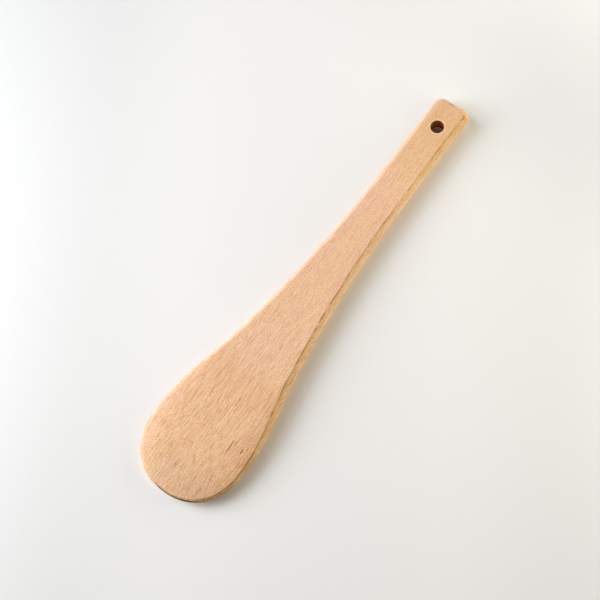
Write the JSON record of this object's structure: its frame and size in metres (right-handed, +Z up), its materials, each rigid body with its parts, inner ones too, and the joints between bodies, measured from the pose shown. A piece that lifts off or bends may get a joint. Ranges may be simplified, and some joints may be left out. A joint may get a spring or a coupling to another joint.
{
  "type": "spatula",
  "caption": "Slim one-piece beech spatula: rounded flat blade thinned from both faces towards its tip, smooth neck, straight handle with a drilled hanging hole.",
  "frame": {"origin": "on the surface the spatula lies on, under the middle of its length and width", "axes": "+Y along the length from the blade's tip to the handle's end, +Z up out of the upper face, +X across the width"},
  "size_m": [0.068, 0.3, 0.0096],
  "materials": {
    "beech": "bare sanded beech, matt"
  },
  "bodies": {
    "root": {"spatula": "beech"}
  },
  "joints": []
}
